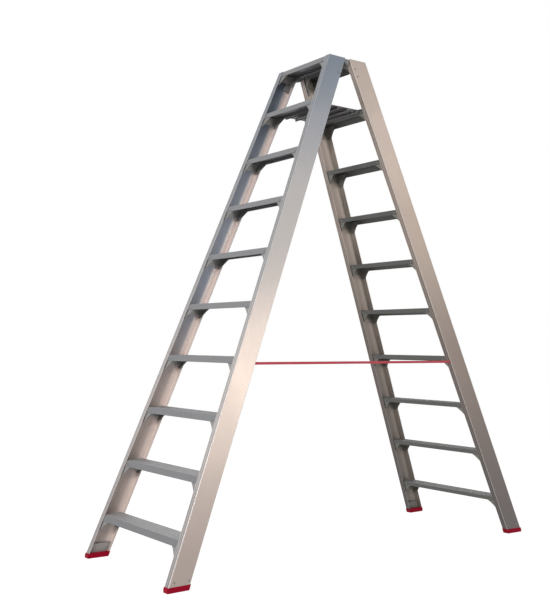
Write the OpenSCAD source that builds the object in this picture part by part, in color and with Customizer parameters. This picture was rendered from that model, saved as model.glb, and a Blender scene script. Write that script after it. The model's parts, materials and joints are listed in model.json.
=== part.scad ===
// Double-sided trestle ladder in aluminium. Two tread sections are hinged at the top,
// a webbing band stops them opening further, and a ribbed plank bridges the gap
// between the second highest treads and folds up as the ladder closes.
// Millimetres. The origin is the centre of the footprint, on the ground.
// +X runs across the ladder, +Y towards the rear section, +Z up.

/* [Ladder] */
// Number of treads in each section
tread_count = 10; // [4:1:12]
// Height from one tread to the next
rise = 250; // [220:1:280]
// Height of the lowest tread's front edge
first_tread_h = 196; // [170:1:240]
// Height from the second highest tread's front edge to the top of the stiles
top_rise = 233; // [220:1:260]
// Lean of each section from the vertical, in degrees
lean = 22; // [19:0.5:25]
// Width across the stiles at the ground
base_w = 768; // [700:1:840]
// Width across the stiles at the top
top_w = 413; // [390:1:460]

/* [Stiles] */
// Depth of a stile's channel
stile_d = 98; // [90:1:110]
// Width of a stile's flanges
flange_w = 31; // [28:1:36]
// Wall of a stile's channel
stile_wall = 3; // [2.5:0.1:4]
// Width of each groove along a flange
groove_w = 3; // [2:0.5:4]
// Depth of each groove along a flange
groove_d = 0.8; // [0.4:0.1:1.2]

/* [Treads] */
// Wall of a tread's top and skirts
tread_wall = 3; // [2:0.1:4]
// Height of a tread's front skirt, along the stile
tread_skirt = 29; // [26:1:38]
// Height of a tread's inner skirt, along the stile
inner_skirt = 23; // [22.5:0.5:31]
// Fall of a tread towards its front edge, in degrees
tread_tilt = 0; // [0:0.5:6]
// Number of ribs along a tread
rib_count = 9; // [5:1:12]
// Width of a rib
rib_w = 4; // [2:0.5:6]
// Height of a rib
rib_h = 1.2; // [0.5:0.1:2]
// Gap between a tread's skirt and the flange beside it
tread_fit = 0.3; // [0.1:0.1:0.6]

/* [Braces] */
// Reach of a brace along the tread, past the flange
brace_reach = 48; // [36:1:60]
// Drop of a brace down the stile, at the flange's edge
brace_drop = 44; // [34:1:56]
// Sheet of a brace
brace_wall = 2.5; // [2:0.1:4]
// Height of a brace's cheeks inside the tread's skirts
brace_lap = 17; // [14:0.5:17]
// Radius of the hollow edge of a brace's cheek
brace_curve = 160; // [48:1:240]
// Drop of a brace's back below the front skirt
brace_back = 22; // [14:1:34]

/* [Feet] */
// Height of a foot outside the stile
foot_h = 23; // [18:1:30]
// Sole below the stile's end
foot_sole = 10; // [6:1:14]
// Skin of a foot around the stile
foot_skin = 1.5; // [1:0.1:3]
// Blunting of a foot's toe
foot_toe = 4; // [2:0.5:6]
// Thickness of a foot's tongue inside the stile
tongue_t = 8; // [5:0.5:10]
// Height of a foot's tongue above the foot
tongue_h = 34; // [26:1:38]
// Thickness of the plate that clamps the tongue
insert_t = 3; // [2:0.5:5]
// Height of the plate that clamps the tongue
insert_h = 40; // [30:1:44]

/* [Top hinge] */
// Depth of the hinge axis below the top of the stiles
hinge_drop = 17; // [16:0.5:20]
// Gap between the two sections when folded
folded_gap = 36; // [34:1:44]
// Radius of a hinge eye
eye_r = 14; // [12:0.5:15]
// Width of a hinge eye
eye_w = 6.5; // [5:0.5:8]
// Gap between moving hinge faces
eye_gap = 0.5; // [0.3:0.1:1]
// Radius of a hinge pin
pin_r = 5; // [4:0.5:6]
// Radial running clearance of a pin or rod
pin_clear = 0.05; // [0.02:0.01:0.1]
// Thickness of a hinge plate
plate_t = 5; // [4:0.5:6]
// Length of a hinge plate down the stile
plate_len = 98; // [94:1:110]
// Width of a hinge plate
plate_w = 40; // [34:1:50]

/* [Platform] */
// Width of the plank between the sections
plank_w = 344; // [260:1:346]
// Reach of the plank from its pivot
plank_len = 200; // [180:1:202]
// Wall of the plank
plank_wall = 3; // [2.5:0.1:4]
// Height of the plank's lip and stiffeners
plank_lip = 15; // [12:0.5:16]
// Number of ribs along the plank
plank_ribs = 14; // [8:1:18]
// Radius of the plank's pivot rod
rod_r = 3; // [2.5:0.1:3.5]
// Width of a lug that holds the rod
lug_w = 24; // [16:1:40]
// Distance of a lug's middle from the plank's end
lug_x = 39; // [30:1:77]
// Width of the rest under the plank's lip
rest_w = 78; // [60:1:120]

/* [Bands] */
// Height of the band above the ground
band_h = 918; // [890:1:940]
// Width of the band
band_w = 12; // [10:1:20]
// Thickness of the band
band_t = 2.5; // [1.5:0.1:3]
// Length of the band's ends, folded along the flanges
band_tab = 20; // [18:1:24]

/* [Hidden] */
$fn = 48;
overrun = 1;
ladder_h = first_tread_h + (tread_count - 2) * rise + top_rise;
hinge_z = ladder_h - hinge_drop;

// A section's own frame has the hinge axis as its origin, y outwards and z up the slope.
half_gap = folded_gap / 2;
mid_y = half_gap + stile_d / 2;
inner_y = half_gap + stile_wall + tread_fit;
outer_y = half_gap + stile_d - stile_wall - tread_fit;
function slope_z(height, y) = (height - hinge_z - y * sin(lean)) / cos(lean);
function ground_y(y, z) = y * cos(lean) - z * sin(lean);
function ground_z(y, z) = hinge_z + y * sin(lean) + z * cos(lean);
top_z = slope_z(ladder_h, mid_y);
base_z = slope_z(0, mid_y);
taper = (base_w - top_w) / 2 / (top_z - base_z);
taper_angle = atan(taper);
function half_w(z) = top_w / 2 + (top_z - z) * taper;
function web_x(z) = half_w(z) - stile_wall / cos(taper_angle);
function tip_x(z) = half_w(z) - flange_w;
toe_y = ground_y(half_gap + stile_d, slope_z(0, half_gap + stile_d)) - foot_toe;

// Grooves are centred on these shares of the flange's width.
groove_shares = [0.3, 0.7];

// Treads: the front edge is the reference point, and the slope is set against the section.
tread_slope = lean + tread_tilt;
tread_len = (outer_y - inner_y) / cos(tread_slope);
tread_back = (outer_y - inner_y) * tan(tread_slope);
skirt_drop = tread_skirt * cos(tread_slope);
skirt_lean = tread_skirt * sin(tread_slope);
inner_drop = inner_skirt * cos(tread_slope);
inner_lean = inner_skirt * sin(tread_slope);
tilt_rise = tread_len * sin(tread_tilt);
rib_bevel = rib_h / 2;
function nose_h(i) = i < tread_count ? first_tread_h + (i - 1) * rise : ladder_h - tilt_rise - rib_h;
function nose_z(i) = slope_z(nose_h(i), outer_y);
function end_inset(i) = i < tread_count ? 0 : plate_t / cos(taper_angle) + tread_fit;
function back_inset(i) = i < tread_count ? 0 : end_inset(i) + rivet_tail_h + tread_fit;

// Rivets
rivet_r = 2.4;
rivet_clear = 0.05;
rivet_head_r = 4.5;
rivet_head_h = 1.8;
rivet_tail_r = 4;
rivet_tail_h = 1.5;
rivet_crown_share = 0.6;
tread_rivet_in = 24;
tread_rivet_up = brace_lap / cos(tread_slope) / 2;
foot_rivet_up = 17;
foot_rivet_gap = 65;
foot_rivet_shift = 4;
foot_rivet_ys = [for (side = [-1, 1]) mid_y - foot_rivet_shift + side * foot_rivet_gap / 2];
hinge_rivet_h_drops = [47, 83];
hinge_rivet_in = 12;
band_rivet_in = band_tab / 4;

// Hinge eyes: the front section's eye is the outer one of each pair.
outer_eye_x = web_x(eye_r) - eye_w;
inner_eye_x = outer_eye_x - eye_gap - eye_w;
arm_h = 18;
arm_end_y = half_gap + stile_wall;
notch_gap = 1.5;
pin_head_r = 8;
pin_head_h = 3;

// Platform: the pivot stands off the inner skirt of the second highest rear tread.
carrier = tread_count - 1;
skirt_top_z = nose_z(carrier) + tread_back;
pivot_off = 14;
pivot_below = 8;
pivot_y = inner_y - pivot_off;
pivot_z = skirt_top_z - pivot_below;
plank_pivot = [0, ground_y(pivot_y, pivot_z), ground_z(pivot_y, pivot_z)];
plank_up = 8;
knuckle_r = 7;
lug_r = 6;
lug_arm = 10;
lug_mid_x = plank_w / 2 - lug_x;
lug_slot = 10;
stiffener_shares = [0.36, 0.68];
rest_wall = 4;
rest_lap = 4;
rest_top = 8;
rest_drop = 48;
rest_gap = 0.3;

// Bands
band_z = slope_z(band_h, half_gap);
band_x = half_w(band_z) - flange_w / 2;

// Every sub-part is modelled on the rear section's right side and mirrored from there.
module front() { mirror([0, 1, 0]) children(); }
module left() { mirror([1, 0, 0]) children(); }
module both_sides() {
    children();
    left() children();
}

// The frame of a section, and that of its right stile with the web's outer face at x = 0
module in_section() { translate([0, 0, hinge_z]) rotate([lean, 0, 0]) children(); }
module in_stile() { in_section() translate([half_w(0), 0, 0]) rotate([0, -taper_angle, 0]) children(); }

// The frame of a tread: its front edge is the origin and its top is level
module in_tread(i) {
    in_section() translate([0, outer_y, nose_z(i)]) rotate([-tread_slope, 0, 0]) children();
}

// The level layer between two heights, as wide and deep as the footprint
module layer(from_h, to_h) {
    translate([-base_w, -toe_y, from_h]) cube([2 * base_w, 2 * toe_y, to_h - from_h]);
}

// The space between the two webs, between two depths and two places along the slope
module between_webs(from_y, to_y, from_z, to_z, inset) {
    low = web_x(from_z) - inset;
    high = web_x(to_z) - inset;
    in_section() translate([0, to_y, 0]) rotate([90, 0, 0]) linear_extrude(to_y - from_y)
        polygon([[-low, from_z], [low, from_z], [high, to_z], [-high, to_z]]);
}

// A rivet along +Z: its head stands on z = 0 and its shank fills the grip below
module rivet(grip) {
    cylinder(h = rivet_head_h, r1 = rivet_head_r, r2 = rivet_head_r * rivet_crown_share);
    translate([0, 0, -grip]) cylinder(h = grip, r = rivet_r);
    translate([0, 0, -grip - rivet_tail_h]) cylinder(h = rivet_tail_h, r = rivet_tail_r);
}
module rivet_hole(grip) {
    translate([0, 0, -grip - overrun]) cylinder(h = grip + 2 * overrun, r = rivet_r + rivet_clear);
}

// Places for rivets, each with +Z pointing out of the metal
module at_foot_webs() {
    for (y = foot_rivet_ys)
        in_stile() translate([0, y, slope_z(foot_h + foot_rivet_up, y) / cos(taper_angle)])
            rotate([0, 90, 0]) children();
}
module at_hinge_webs() {
    y = half_gap + stile_wall + hinge_rivet_in;
    for (drop = hinge_rivet_h_drops)
        in_stile() translate([0, y, slope_z(ladder_h - drop, y) / cos(taper_angle)])
            rotate([0, 90, 0]) children();
}
module at_band_end() {
    in_section() translate([band_x - band_rivet_in, half_gap - band_t, band_z])
        rotate([90, 0, 0]) children();
}
module at_tread_ends(i) {
    x = tip_x(nose_z(i) - tread_skirt) - tread_rivet_in;
    outer_z = nose_z(i) - tread_skirt + tread_rivet_up;
    inner_z = nose_z(i) + tread_back - inner_skirt + tread_rivet_up;
    both_sides() {
        in_section() translate([x, outer_y, outer_z]) rotate([-90, 0, 0]) children();
        in_section() translate([x, inner_y, inner_z]) rotate([90, 0, 0]) children();
    }
}
tread_grip = tread_wall + brace_wall;
foot_web_grip = stile_wall + tongue_t + insert_t;
hinge_grip = stile_wall + plate_t;
band_grip = band_t + stile_wall;

// Stiles
module stile_section() {
    difference() {
        translate([-flange_w, half_gap]) square([flange_w, stile_d]);
        translate([-flange_w - overrun, half_gap + stile_wall])
            square([flange_w + overrun - stile_wall, stile_d - 2 * stile_wall]);
    }
}
module stile_bar() {
    from_z = base_z - stile_d;
    to_z = top_z + stile_d;
    in_stile() translate([0, 0, from_z]) linear_extrude(to_z - from_z) stile_section();
}
module stile_grooves() {
    from_z = base_z - stile_d;
    to_z = top_z + stile_d;
    for (share = groove_shares, y = [half_gap - overrun, half_gap + stile_d - groove_d])
        in_stile() translate([-flange_w * share - groove_w / 2, y, from_z])
            cube([groove_w, groove_d + overrun, to_z - from_z]);
}
module hinge_notch() {
    intersection() {
        in_section() translate([inner_eye_x - notch_gap, half_gap - overrun, -arm_h / 2 - notch_gap])
            cube([flange_w, stile_wall + 2 * overrun, stile_d]);
        between_webs(0, stile_d, -stile_d, stile_d, 0);
    }
}
module stile() color("silver") difference() {
    intersection() {
        stile_bar();
        layer(foot_sole, ladder_h);
    }
    stile_grooves();
    hinge_notch();
    at_foot_webs() rivet_hole(foot_web_grip);
    at_hinge_webs() rivet_hole(hinge_grip);
}
module banded_stile() color("silver") difference() {
    stile();
    at_band_end() rivet_hole(band_grip);
}

// Treads
function ribs(count, length, width) = [
    for (k = [0:count - 1])
        let (c = -length + (k + 0.5) * length / count)
        each [
            [c - width / 2, 0],
            [c - width / 2 + rib_bevel, rib_h],
            [c + width / 2 - rib_bevel, rib_h],
            [c + width / 2, 0]
        ]
];
function tread_outline() =
    let (
        across = tread_wall * cos(tread_slope),
        down = tread_wall * sin(tread_slope),
        front_run = (skirt_drop + down - tread_wall) * tan(tread_slope),
        back_run = (down + tread_wall) * tan(tread_slope)
    )
    concat(
        [
            [0, 0],
            [skirt_lean, -skirt_drop],
            [skirt_lean - across, -skirt_drop - down],
            [skirt_lean - across - front_run, -tread_wall],
            [-tread_len + across + back_run, -tread_wall],
            [-tread_len + inner_lean + across, down - inner_drop],
            [-tread_len + inner_lean, -inner_drop],
            [-tread_len, 0]
        ],
        ribs(rib_count, tread_len, rib_w)
    );
module tread(i) color("gray") difference() {
    intersection() {
        in_tread(i) rotate([90, 0, 90]) linear_extrude(base_w, center = true) polygon(tread_outline());
        between_webs(
            inner_y - overrun, outer_y + overrun,
            nose_z(i) - 2 * tread_skirt, nose_z(i) + tread_back + 2 * tread_skirt,
            end_inset(i)
        );
    }
    at_tread_ends(i) rivet_hole(tread_grip);
}

// Braces: a bent bracket with a cheek inside each skirt of the tread and a back along the web
module brace_sweep(i) {
    in_tread(i) translate([0, stile_d, 0]) rotate([90, 0, 0])
        linear_extrude(tread_len + 2 * stile_d) children();
}
module brace_cheek(i, drop) {
    start = tip_x(nose_z(i) - tread_skirt) - brace_reach;
    edge = norm([brace_reach, brace_drop]);
    bow = sqrt(pow(brace_curve, 2) - pow(edge / 2, 2));
    brace_sweep(i) translate([start, -drop]) difference() {
        translate([0, -brace_drop]) square([base_w, brace_drop + brace_lap]);
        translate([brace_reach / 2 - bow * brace_drop / edge, -brace_drop / 2 - bow * brace_reach / edge])
            circle(r = brace_curve);
    }
}
module brace(i) {
    low = nose_z(i) - tread_skirt - 2 * (brace_drop + flange_w);
    high = nose_z(i) + tread_back + tread_skirt;
    from_y = inner_y + tread_wall;
    to_y = outer_y - tread_wall;
    difference() {
        union() {
            intersection() {
                brace_cheek(i, skirt_drop);
                between_webs(to_y - brace_wall, to_y, low, high, end_inset(i));
            }
            intersection() {
                brace_cheek(i, inner_drop);
                between_webs(from_y, from_y + brace_wall, low, high, end_inset(i));
            }
            intersection() {
                brace_sweep(i) translate([0, -skirt_drop - brace_back])
                    square([base_w, brace_back + brace_lap]);
                difference() {
                    between_webs(from_y, to_y, low, high, back_inset(i));
                    between_webs(from_y - overrun, to_y + overrun, low - overrun, high + overrun,
                        back_inset(i) + brace_wall / cos(taper_angle));
                }
            }
        }
        at_tread_ends(i) rivet_hole(tread_grip);
    }
}
module braces() color("dimgray") for (i = [1:tread_count]) brace(i);
module tread_rivets() color("gainsboro") for (i = [1:tread_count]) at_tread_ends(i) rivet(tread_grip);

// Feet
module foot_block() {
    in_stile() translate([-flange_w - foot_skin, half_gap - foot_skin, base_z - stile_d])
        cube([flange_w + 2 * foot_skin, stile_d + 2 * foot_skin, 2 * stile_d]);
}
module foot_tongue() {
    in_stile() translate([-stile_wall - tongue_t, half_gap + stile_wall, base_z - stile_d])
        cube([tongue_t, stile_d - 2 * stile_wall, 3 * stile_d]);
}
module foot() color("crimson") difference() {
    union() {
        intersection() {
            foot_block();
            layer(0, foot_h);
        }
        intersection() {
            foot_tongue();
            layer(foot_sole, foot_h + tongue_h);
        }
    }
    intersection() {
        stile_bar();
        layer(foot_sole, foot_h + tongue_h + overrun);
    }
    at_foot_webs() rivet_hole(foot_web_grip);
}
module foot_plate() color("darkgray") difference() {
    intersection() {
        in_stile() translate([-stile_wall - tongue_t - insert_t, half_gap + stile_wall, base_z - stile_d])
            cube([insert_t, stile_d - 2 * stile_wall, 3 * stile_d]);
        layer(foot_h, foot_h + insert_h);
    }
    at_foot_webs() rivet_hole(foot_web_grip);
}
module foot_rivets() color("gainsboro") at_foot_webs() rivet(foot_web_grip);

// Top hinge
module along_x(from_x, to_x, r) {
    translate([from_x, 0, 0]) rotate([0, 90, 0]) cylinder(h = to_x - from_x, r = r);
}
module across(width) { rotate([90, 0, 90]) linear_extrude(width) children(); }

// An eye with its arm, seen along the axis: the arm runs towards +x
module eye_section(r, bore_r, arm_len, arm) {
    difference() {
        union() {
            circle(r);
            translate([0, -arm / 2]) square([arm_len, arm]);
        }
        circle(bore_r);
    }
}
module hinge_plate() {
    plate_y = arm_end_y + tread_fit;
    neck_y = eye_r + notch_gap;
    neck_h = arm_h - 2 * overrun;
    intersection() {
        in_stile() translate([-stile_wall - plate_t, 0, 0]) {
            translate([0, plate_y, -plate_len]) cube([plate_t, plate_w, 2 * plate_len]);
            translate([0, neck_y, -neck_h / 2]) cube([plate_t, plate_w / 2, neck_h]);
        }
        layer(0, ladder_h - overrun);
    }
}
module hinge_bridge(eye_x) {
    from_x = eye_x + overrun;
    to_x = outer_eye_x + eye_w - overrun;
    from_y = eye_r + notch_gap;
    bridge_h = arm_h - 4 * overrun;
    in_section() translate([from_x, from_y, -bridge_h / 2])
        cube([to_x - from_x, arm_end_y - overrun - from_y, bridge_h]);
}
module hinge(eye_x, clear) color("slategray") difference() {
    union() {
        in_section() translate([eye_x, 0, 0])
            across(eye_w) eye_section(eye_r, pin_r + clear, arm_end_y, arm_h);
        hinge_bridge(eye_x);
        hinge_plate();
    }
    at_hinge_webs() rivet_hole(hinge_grip);
}
module front_hinge() hinge(outer_eye_x, pin_clear);
module rear_hinge() hinge(inner_eye_x, 0);
module hinge_pin() color("dimgray") {
    start = inner_eye_x - eye_gap;
    end = outer_eye_x + eye_w + eye_gap;
    in_section() {
        along_x(start, end, pin_r);
        along_x(start - pin_head_h, start, pin_head_r);
        along_x(end, end + pin_head_h, pin_head_r);
    }
}
module hinge_rivets() color("gainsboro") at_hinge_webs() rivet(hinge_grip);

// Platform
module in_platform() { translate(plank_pivot) children(); }
module across_platform(width) { rotate([90, 0, 90]) linear_extrude(width, center = true) children(); }
module platform_plank() color("darkgray") in_platform() difference() {
    union() {
        translate([0, 0, plank_up]) across_platform(plank_w)
            polygon(concat([[0, -plank_wall], [-plank_len, -plank_wall], [-plank_len, 0]],
                ribs(plank_ribs, plank_len, rib_w), [[0, 0]]));
        for (y = concat([-plank_len], [for (share = stiffener_shares) -plank_len * share]))
            translate([-plank_w / 2, y, plank_up - plank_lip])
                cube([plank_w, plank_wall, plank_lip - plank_wall / 2]);
        translate([-plank_w / 2, -knuckle_r, 0]) cube([plank_w, knuckle_r, plank_up - plank_wall / 2]);
        along_x(-plank_w / 2, plank_w / 2, knuckle_r);
    }
    along_x(-plank_w, plank_w, rod_r + pin_clear);
    for (side = [-1, 1])
        translate([side * lug_mid_x - lug_w / 2 - eye_gap, -lug_slot, -plank_lip])
            cube([lug_w + 2 * eye_gap, 2 * lug_slot, 2 * plank_lip]);
}
module platform_rod() color("dimgray") in_platform() along_x(-plank_w / 2, plank_w / 2, rod_r);
module platform_lugs() color("slategray") for (side = [-1, 1])
    in_section() translate([side * lug_mid_x - lug_w / 2, pivot_y, pivot_z])
        across(lug_w) eye_section(lug_r, rod_r, pivot_off, lug_arm);
module section_plane() { translate([0, hinge_z]) rotate(lean) children(); }
module platform_rest() color("slategray") {
    shelf_y = plank_len - plank_pivot[1] - rest_lap;
    shelf_z = plank_pivot[2] + plank_up - plank_lip - rest_gap;
    across_platform(rest_w) {
        section_plane() translate([inner_y - rest_wall, skirt_top_z - rest_drop - rest_wall])
            square([rest_wall, rest_drop - rest_top]);
        intersection() {
            translate([shelf_y, shelf_z - rest_wall]) square([stile_d, rest_wall]);
            section_plane() translate([-stile_d, skirt_top_z - stile_d])
                square([stile_d + inner_y - rest_wall / 2, 2 * stile_d]);
        }
    }
}

// Band: a taut strip with an end folded along each flange
module band_end() {
    in_section() translate([band_x - band_tab / 2, half_gap - band_t, band_z - band_w / 2])
        cube([band_tab, band_t, band_w]);
}
module band() color("crimson") difference() {
    union() {
        intersection() {
            translate([band_x + band_tab / 2 - band_t, -toe_y, band_h - band_w / 2])
                cube([band_t, 2 * toe_y, band_w]);
            in_section() translate([0, half_gap - toe_y * 2, base_z])
                cube([base_w, toe_y * 2, -base_z]);
            front() in_section() translate([0, half_gap - toe_y * 2, base_z])
                cube([base_w, toe_y * 2, -base_z]);
        }
        band_end();
        front() band_end();
    }
    at_band_end() rivet_hole(band_grip);
    front() at_band_end() rivet_hole(band_grip);
}
module band_rivet() color("gainsboro") at_band_end() rivet(band_grip);

front() left() stile();  // front_stile_left
front() banded_stile();  // front_stile_right
left() stile();  // rear_stile_left
banded_stile();  // rear_stile_right
for (i = [1:tread_count]) {
    front() tread(i);
    tread(i);
}
front() left() braces();  // front_braces_left
front() braces();  // front_braces_right
left() braces();  // rear_braces_left
braces();  // rear_braces_right
front() left() foot();  // front_foot_left
front() foot();  // front_foot_right
left() foot();  // rear_foot_left
foot();  // rear_foot_right
front() both_sides() foot_plate();  // front_foot_plates
both_sides() foot_plate();  // rear_foot_plates
front() left() front_hinge();  // front_hinge_left
front() front_hinge();  // front_hinge_right
left() rear_hinge();  // rear_hinge_left
rear_hinge();  // rear_hinge_right
left() hinge_pin();  // hinge_pin_left
hinge_pin();  // hinge_pin_right
band();
platform_plank();
platform_rod();
platform_lugs();
front() platform_rest();
front() tread_rivets();  // front_tread_rivets
tread_rivets();  // rear_tread_rivets
front() both_sides() foot_rivets();  // front_foot_rivets
both_sides() foot_rivets();  // rear_foot_rivets
front() both_sides() hinge_rivets();  // front_hinge_rivets
both_sides() hinge_rivets();  // rear_hinge_rivets
front() band_rivet();  // front_band_rivet
band_rivet();  // rear_band_rivet
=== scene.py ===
"""Looks of a double-sided trestle ladder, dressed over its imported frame.

Every rigid piece starts from the frame's own solid, whose flat faces are joined and whose
edges are rounded the way drawn, pressed or moulded metal and plastic are. Rivets and the
weave of the stay band are set by Geometry Nodes. Metres throughout, +Z up.
"""

import json
import math

import bmesh
import bpy
import numpy as np
from bpy.props import FloatProperty, FloatVectorProperty, PointerProperty
from bpy.types import Operator, Panel, PropertyGroup
from mathutils import Matrix, Vector


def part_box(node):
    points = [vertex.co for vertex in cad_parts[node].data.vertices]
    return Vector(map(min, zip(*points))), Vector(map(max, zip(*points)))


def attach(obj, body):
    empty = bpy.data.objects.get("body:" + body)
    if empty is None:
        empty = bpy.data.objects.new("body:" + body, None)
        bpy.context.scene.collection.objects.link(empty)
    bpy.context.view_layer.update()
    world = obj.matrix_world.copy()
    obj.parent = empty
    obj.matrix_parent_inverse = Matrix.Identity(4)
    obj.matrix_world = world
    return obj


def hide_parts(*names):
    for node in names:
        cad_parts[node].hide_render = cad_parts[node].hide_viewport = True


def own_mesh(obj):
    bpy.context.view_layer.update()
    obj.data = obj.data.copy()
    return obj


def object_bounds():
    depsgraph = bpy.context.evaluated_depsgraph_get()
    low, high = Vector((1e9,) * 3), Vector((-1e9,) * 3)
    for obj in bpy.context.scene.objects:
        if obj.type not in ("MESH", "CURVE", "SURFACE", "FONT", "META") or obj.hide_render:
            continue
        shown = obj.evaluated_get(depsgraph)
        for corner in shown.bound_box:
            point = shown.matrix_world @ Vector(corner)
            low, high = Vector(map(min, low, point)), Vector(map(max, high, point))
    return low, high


bl_info = {
    "name": "Trestle ladder",
    "version": (1, 0, 0),
    "blender": (4, 5, 0),
    "location": "View3D > Sidebar > Ladder",
    "description": "Dresses the frame of a double-sided trestle ladder",
    "category": "Add Mesh",
}

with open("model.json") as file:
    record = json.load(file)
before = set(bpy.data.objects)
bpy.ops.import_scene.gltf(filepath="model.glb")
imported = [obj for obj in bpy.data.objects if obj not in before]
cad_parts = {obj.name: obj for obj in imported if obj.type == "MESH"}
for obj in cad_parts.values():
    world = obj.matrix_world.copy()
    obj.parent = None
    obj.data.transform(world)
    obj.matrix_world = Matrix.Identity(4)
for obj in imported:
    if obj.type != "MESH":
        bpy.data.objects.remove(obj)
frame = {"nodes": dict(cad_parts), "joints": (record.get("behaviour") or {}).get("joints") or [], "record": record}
CAD_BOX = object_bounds()
NODES = frame["nodes"]
BODY_OF = {
    name: body
    for body, names in frame["record"]["behaviour"]["bodies"].items()
    for name in names
}
FOLD = next(joint for joint in frame["joints"] if joint["name"] == "section_fold")
LEAN = math.radians(FOLD["range_deg"][1]) / 2
BAND_HEIGHT = FOLD["deforming_nodes"][0]["fixed_end_z_m"]
LADDER_HEIGHT = CAD_BOX[1].z
SECTIONS = ("front", "rear")
SIDES = ("left", "right")
WHITE = (1, 1, 1, 1)

# How a section's slope is turned upright, so that a grain can run along its stiles
UPRIGHT = {"front": LEAN, "rear": -LEAN}

# Tolerances for cleaning a copy of a solid, and the distance within which points share a plane
WELD = 1e-5
FLAT = math.radians(0.5)
SHARP = math.radians(28)
NEAR = 1e-4

# Share of the longest edge from which an edge runs the whole length of a stile
FULL_LENGTH = 0.9

# Attribute of rounded edges, which are worn brighter
WORN = "worn"

# Attributes of a stile: the faces inside its channel (the floor is the web's, the walls are the
# flanges'), the bottoms of the grooves along its flanges, and each point's share of the way from
# the outer flange to the inner one
# The stile material paints shade and light inside the channel, and shade in the grooves, by these
FLOOR = "channel_floor"
WALL = "channel_wall"
GROOVE = "flange_groove"
DEPTH = "channel_depth"

# Widest edge of a flange, and the least and greatest depth of a groove
LIP = 0.006
GROOVE_DEPTHS = (0.0005, 0.0015)

# Shares of the ladder's height at which a stile and the inside of its channel have their tones,
# which are painted light and shade
STILE_STOPS = {
    "front": {"foot": 0.0, "waist": 0.32, "chest": 0.64, "top": 1.0},
    "rear": {"foot": 0.0, "waist": 0.38, "chest": 0.66, "top": 0.86},
}
CHANNEL_STOPS = {"low": 0.26, "high": 0.52}

# Shares of a channel's depth between which its floor takes on the painted light of its rearward
# wall
FLOOR_SHIFT = {"front": (0.58, 0.95), "rear": (0.5, 0.15)}

# How far the flanges, the inside of the channel and the grooves take on painted tones: painted
# light on the front flanges, painted shade and light inside the channel, painted shade in grooves
FLANGE_TONE = {"front": 0.6, "rear": 0.0}
CHANNEL_TONE = 0.9
GROOVE_TONE = 0.8

# How bright the low and the high treads of a section are, as painted light and shade, the height
# shares where they count as low and high, and how far a face looks up where the painted light on
# a tread's top starts and is whole
TREAD_LIGHT = {"front": (0.95, 1.17), "rear": (1.06, 0.94)}
TREAD_STOPS = (0.3, 0.8)
PAINTED_TOP_FACING = (0.6, 0.95)
PAINTED_TOP_TONE = 0.85

# Metal: its metallic share, how far its roughness varies, and the depth of its grain in metres
METALLIC = 0.4
ROUGH_SPREAD = (-0.07, 0.09)
DRAWN_RELIEF = 0.00004
ROLLED_RELIEF = 0.00003

# Noise that draws die lines along a stile and along a tread, and the even grain of rolled sheet
STILE_GRAIN = (320, 320, 1.5)
TREAD_GRAIN = (2.0, 420, 420)
ROLLED_GRAIN = (140, 140, 140)

# Scales of even noise: dull patches on metal, pores and scuffs of a foot, fading of the band
PATCH_SCALE = 5.0
PORE_SCALE = 900.0
SCUFF_SCALE = 60.0
FADE_SCALE = 9.0

# How far the rounded edges of metal and of a foot take on the colour of wear
METAL_WEAR = 0.2
FOOT_WEAR = 0.3

# A foot: how far and how deep scuffs darken it, and its least and greatest roughness
SCUFF_TONE = 0.3
SCUFF_DEPTH = 0.62
FOOT_ROUGH = (0.36, 0.55)

# The webbing: the axis that each kind of yarn is counted along and its scale, how bright a yarn is
# in a dip and on a crown, as painted shade and a painted highlight, and how far the band is faded
YARNS = (("Y", 230.0), ("Z", 400.0))
YARN_LIGHT = (0.6, 1.25)
FADE_TONE = 0.3

# How pale the floor is for light that it throws back, and for what the camera sees
FLOOR_BOUNCE = 0.8
FLOOR_SHADE = 0.3

# Faces round a rivet
RIVET_STEPS = 20


# Settings


def size(name, about, default):
    """A length in metres that a user may change."""
    return FloatProperty(name=name, description=about, default=default, unit="LENGTH")


def colour(name, about, default):
    """A linear colour that a user may change."""
    return FloatVectorProperty(
        name=name, description=about, default=default, subtype="COLOR", size=3, min=0, max=1
    )


def share(name, about, default):
    """A share from 0 to 1 that a user may change."""
    return FloatProperty(
        name=name, description=about, default=default, subtype="FACTOR", min=0, max=1
    )


class LadderSizes(PropertyGroup):
    """Small sizes that finish the pieces."""

    stile_corner: size("Stile corner", "Radius of a stile's outer corners", 0.003)
    stile_fillet: size("Stile fillet", "Greatest radius inside a stile's channel", 0.0018)
    stile_lip: size("Stile lip", "Rounding of a flange's free edge", 0.001)
    drawn_edge: size("Drawn edge", "Rounding of the edges of drawn aluminium", 0.0003)
    brace_edge: size("Brace edge", "Rounding of a pressed brace's edges", 0.0008)
    hinge_edge: size("Hinge edge", "Rounding of the steel fittings' edges", 0.0007)
    foot_edge: size("Foot edge", "Rounding of a moulded foot's edges", 0.0006)
    sole_edge: size("Sole edge", "Rounding around a foot's sole", 0.002)
    rivet_head: size("Rivet head", "Radius of a rivet's head", 0.0045)
    rivet_crown: size("Rivet crown", "Height of a rivet's head", 0.0018)
    rivet_rim: size("Rivet rim", "Height of the straight rim of a rivet's head", 0.0004)
    rivet_shank: size("Rivet shank", "Radius of a rivet's shank", 0.0024)
    rivet_dimple: size("Rivet dimple", "Radius of the dimple in a rivet's head", 0.0011)
    rivet_tail: size("Rivet tail", "Radius of a rivet's upset tail", 0.004)
    rivet_upset: size("Rivet upset", "Height of a rivet's upset tail", 0.0015)
    band_width: size("Band width", "Width of the webbing band", 0.012)
    band_thick: size("Band thickness", "Thickness of the webbing band", 0.0025)
    weft_pitch: size("Weft pitch", "Distance from one weft rib to the next", 0.0022)
    weft_relief: size("Weft relief", "Height of a weft rib above the core before it is filled", 0.0003)


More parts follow.
